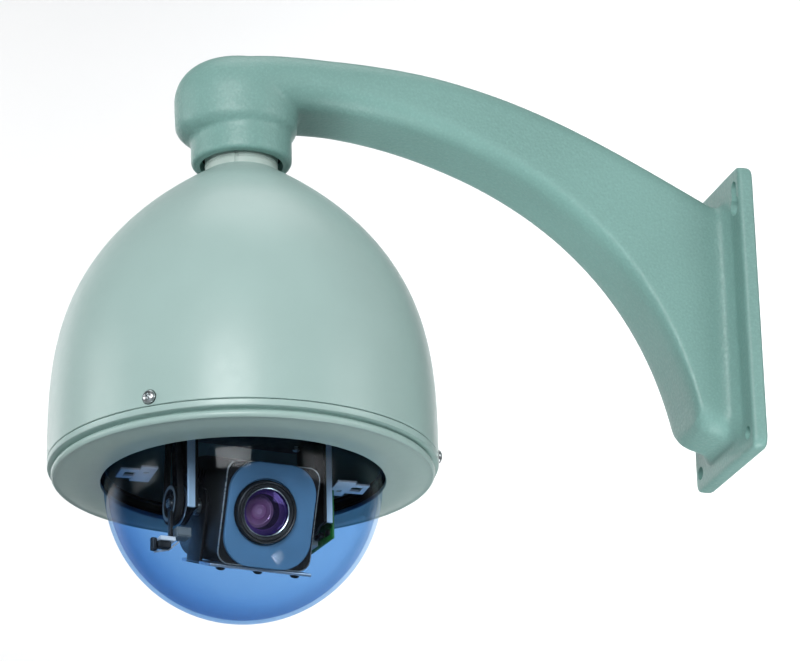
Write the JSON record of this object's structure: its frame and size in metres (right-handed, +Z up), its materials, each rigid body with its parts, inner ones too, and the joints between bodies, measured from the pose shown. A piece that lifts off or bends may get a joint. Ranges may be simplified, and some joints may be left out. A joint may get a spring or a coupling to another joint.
{
  "type": "ptz camera",
  "caption": "Pan-tilt-zoom dome camera on a curved wall bracket, with a turning and tilting zoom camera inside a clear bubble under a bell-shaped housing.",
  "frame": {"origin": "midway between the two lower fixing holes, on the back face of the wall plate", "axes": "+X out of the back of the plate into the wall, +Z up; the dome hangs 340 mm out towards -X"},
  "size_m": [0.4645, 0.249, 0.3823],
  "materials": {
    "bracket_paint": "hammered grey-green powder coat",
    "housing_paint": "satin grey-green paint",
    "steel": "zinc plated",
    "aluminium": "satin mill finish",
    "brass": "machined",
    "black_plastic": "matt moulded",
    "black_metal": "black coated sheet",
    "rubber": "matt",
    "clear_bubble": "clear moulded dome",
    "lens_glass": "violet coated",
    "face_plastic": "blue-grey satin",
    "white_sheet": "bright plated sheet",
    "circuit_board": "green solder mask",
    "grey_plastic": "matt",
    "white_plastic": "matt"
  },
  "bodies": {
    "housing": {"bracket_arm": "bracket_paint", "neck_adapter": "steel", "neck_seal": "rubber", "neck_locknut": "steel", "housing_shell": "housing_paint", "trim_ring": "housing_paint", "ring_gasket": "rubber", "ring_screw_1": "steel", "ring_screw_2": "steel", "ring_screw_3": "steel", "bubble": "clear_bubble", "bubble_gasket": "rubber", "bubble_clamp_ring": "black_metal", "chassis_plate": "black_metal", "chassis_post_1": "steel", "chassis_post_2": "steel", "chassis_post_3": "steel", "mount_ear_right": "white_sheet", "mount_ear_left": "white_sheet", "power_board": "circuit_board", "terminal_block": "grey_plastic", "heater_block": "aluminium", "fan_frame": "black_plastic", "pan_bearing": "steel", "pan_motor": "black_metal", "pan_belt": "rubber", "slip_ring_bridge": "black_metal", "slip_ring_body": "black_plastic"},
    "pan_head": {"slip_ring_rotor": "grey_plastic", "pan_hub": "aluminium", "pan_pulley": "black_plastic", "pan_platform": "black_metal", "yoke_arm_left": "aluminium", "yoke_arm_right": "aluminium", "tilt_bush_left": "brass", "tilt_bush_right": "brass", "tilt_motor_bracket": "steel", "tilt_motor": "black_metal", "tilt_belt": "rubber", "tilt_limit_switch": "grey_plastic", "control_board": "circuit_board", "board_connector": "white_plastic"},
    "camera_module": {"camera_case": "black_plastic", "camera_face": "face_plastic", "lens_barrel": "black_plastic", "front_lens": "lens_glass", "sensor_board": "circuit_board", "camera_board": "circuit_board", "camera_cradle": "aluminium", "cradle_screw_1": "black_metal", "cradle_screw_2": "black_metal", "cradle_screw_3": "black_metal", "tilt_shaft_left": "steel", "tilt_shaft_right": "steel", "tilt_pulley": "black_metal"},
    "fan": {"fan_rotor": "black_plastic"},
    "pan_pinion_gear": {"pan_pinion": "brass"},
    "tilt_pinion_gear": {"tilt_pinion": "brass"},
    "zoom_cell": {"zoom_group": "black_plastic"},
    "focus_cell": {"focus_group": "black_plastic"}
  },
  "joints": [
    {"name": "pan", "type": "hinge", "parent": "housing", "child": "pan_head", "pos_m": [-0.34, 0, -0.0325], "axis": [0, 0, 1], "continuous": true},
    {"name": "tilt", "type": "hinge", "parent": "pan_head", "child": "camera_module", "pos_m": [-0.34, 0, -0.0645], "axis": [0.9914, 0.1305, 0], "range_deg": [-20, 70]},
    {"name": "pan_pinion_spin", "type": "hinge", "parent": "housing", "child": "pan_pinion_gear", "pos_m": [-0.34, 0.068, 0.0515], "axis": [0, 0, 1], "continuous": true},
    {"name": "tilt_pinion_spin", "type": "hinge", "parent": "pan_head", "child": "tilt_pinion_gear", "pos_m": [-0.38709, -0.0062, 0.011], "axis": [0.9914, 0.1305, 0], "range_deg": [-65, 215]},
    {"name": "zoom_slide", "type": "slide", "parent": "camera_module", "child": "zoom_cell", "axis": [0.1227, -0.9317, -0.342], "range_m": [0, 0.007]},
    {"name": "focus_slide", "type": "slide", "parent": "camera_module", "child": "focus_cell", "axis": [0.1227, -0.9317, -0.342], "range_m": [0, 0.004]},
    {"name": "fan_spin", "type": "hinge", "parent": "housing", "child": "fan", "pos_m": [-0.274, 0, 0.0475], "axis": [0, 0, 1], "continuous": true}
  ],
  "couplings": [
    {"joint": "pan_pinion_spin", "follows": "pan", "ratio": 5},
    {"joint": "tilt_pinion_spin", "follows": "tilt", "ratio": 3}
  ]
}
